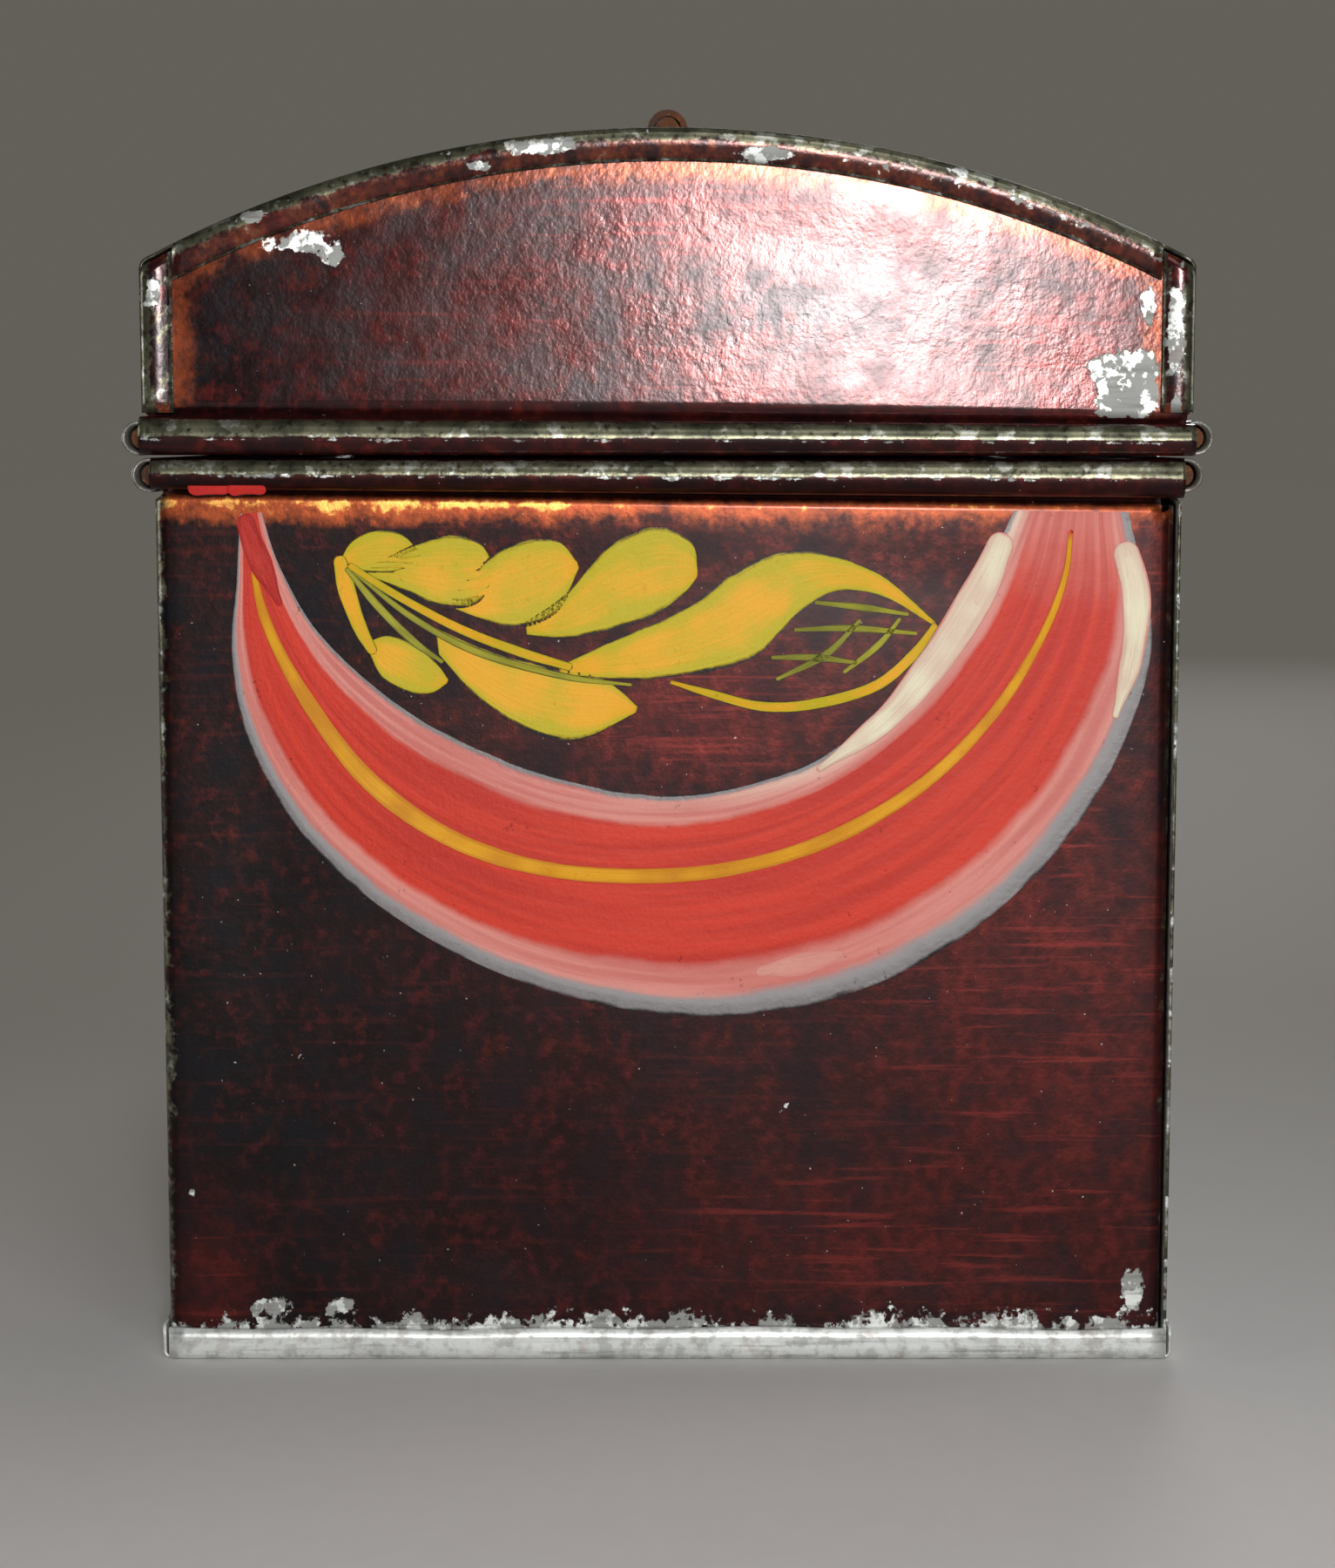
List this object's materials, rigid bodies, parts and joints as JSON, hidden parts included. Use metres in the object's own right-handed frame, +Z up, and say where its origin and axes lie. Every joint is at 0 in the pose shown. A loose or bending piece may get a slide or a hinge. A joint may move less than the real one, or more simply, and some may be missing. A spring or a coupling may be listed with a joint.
{
  "type": "dome-top document box",
  "caption": "Hinged sheet-tin document box with a domed lid, rolled wired rims, strap hinges, a hasp over a wire staple and a folding bail handle.",
  "frame": {"origin": "middle of the underside of the bottom pan, on the ground", "axes": "+X along the box's length towards its right end, -Y towards the front with the hasp, +Z up"},
  "size_m": [0.2284, 0.1358, 0.1526],
  "materials": {
    "japanned_tin": "asphaltum japanning over tinplate, semi-gloss, worn and mottled, with hand-painted decoration",
    "bare_tin": "bare tinplate, bright where rubbed, stained and spotted elsewhere",
    "iron_wire": "drawn iron wire, brown with age"
  },
  "bodies": {
    "box": {"bottom_pan": "bare_tin", "body_front_and_right": "japanned_tin", "body_back_and_left": "japanned_tin", "body_wire_front": "iron_wire", "body_wire_back": "iron_wire", "body_wire_right": "iron_wire", "body_wire_left": "iron_wire", "hinge_strap_right": "japanned_tin", "hinge_strap_left": "japanned_tin", "staple_plate": "japanned_tin", "staple": "iron_wire"},
    "lid": {"lid_dome": "japanned_tin", "lid_end_right": "japanned_tin", "lid_end_left": "japanned_tin", "lid_wire_front": "iron_wire", "lid_wire_back": "iron_wire", "lid_wire_right": "iron_wire", "lid_wire_left": "iron_wire", "hasp_leaf": "japanned_tin", "hasp_pin": "iron_wire", "bail_ear_right": "bare_tin", "bail_ear_left": "bare_tin"},
    "hasp": {"hasp": "japanned_tin"},
    "bail": {"bail": "iron_wire"}
  },
  "joints": [
    {"name": "lid_hinge", "type": "hinge", "parent": "box", "child": "lid", "pos_m": [0, 0.0612, 0.1089], "axis": [-1, 0, 0], "range_deg": [0, 115]},
    {"name": "hasp_swing", "type": "hinge", "parent": "lid", "child": "hasp", "pos_m": [0, -0.0624, 0.1148], "axis": [-1, 0, 0], "range_deg": [-14, 136]},
    {"name": "bail_swing", "type": "hinge", "parent": "lid", "child": "bail", "pos_m": [0, 0, 0.14985], "axis": [-1, 0, 0], "range_deg": [0, 207.5]}
  ]
}
